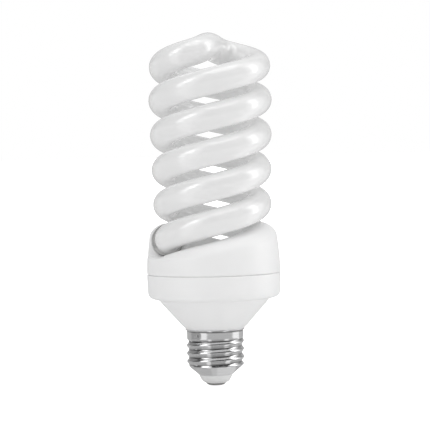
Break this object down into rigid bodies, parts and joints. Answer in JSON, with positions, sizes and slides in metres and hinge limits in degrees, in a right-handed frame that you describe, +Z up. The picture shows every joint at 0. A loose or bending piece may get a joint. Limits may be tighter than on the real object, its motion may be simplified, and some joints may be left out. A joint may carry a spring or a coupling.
{
  "type": "spiral energy saving bulb",
  "caption": "Compact fluorescent lamp: full-spiral glass tube on a round white ballast housing with a large Edison screw cap.",
  "frame": {"origin": "middle of the flat tip of the centre contact, on the lamp's axis", "axes": "+Z up the lamp's axis towards the glass; -Y is the front, +X the front's right"},
  "size_m": [0.0608, 0.0608, 0.1604],
  "materials": {
    "coated_glass": "gloss, white phosphor coat inside",
    "white_plastic": "satin moulded",
    "nickel_plate": "bright nickel plate",
    "cap_glass": "pale fused insulator",
    "contact_metal": "dull metal",
    "cement": "matt cement",
    "board": "paper laminate",
    "ferrite": "sintered ferrite",
    "bobbin_plastic": "moulded former",
    "copper_wire": "enamelled copper",
    "black_resin": "moulded resin",
    "capacitor_sleeve": "shrunk sleeve",
    "capacitor_resin": "dipped resin",
    "ceramic": "lacquered ceramic",
    "thermistor_coat": "lacquered ceramic",
    "resistor_coat": "lacquer",
    "diode_glass": "small glass body",
    "tinned_wire": "tinned",
    "wire_sleeve": "wire insulation",
    "solder": "solder"
  },
  "bodies": {
    "root": {"spiral_tube": "coated_glass", "tube_cement": "cement", "upper_cover": "white_plastic", "lower_housing": "white_plastic", "screw_shell": "nickel_plate", "cap_insulator": "cap_glass", "centre_contact": "contact_metal", "circuit_board": "board", "electrolytic_capacitor": "capacitor_sleeve", "choke_core_upper": "ferrite", "choke_core_lower": "ferrite", "choke_bobbin": "bobbin_plastic", "choke_winding": "copper_wire", "drive_ring_core": "ferrite", "drive_windings": "copper_wire", "transistor_a": "black_resin", "transistor_b": "black_resin", "resonance_capacitor": "capacitor_resin", "coupling_capacitor": "capacitor_resin", "ceramic_capacitors": "ceramic", "thermistor": "thermistor_coat", "filter_inductor_core": "ferrite", "filter_inductor_winding": "copper_wire", "rectifier_diodes": "black_resin", "clamp_diodes": "black_resin", "trigger_diac": "diode_glass", "resistors": "resistor_coat", "fusible_resistor": "resistor_coat", "tube_lead_wires": "tinned_wire", "lead_posts": "tinned_wire", "live_lead": "wire_sleeve", "neutral_lead": "tinned_wire", "solder_joints": "solder"}
  },
  "joints": []
}
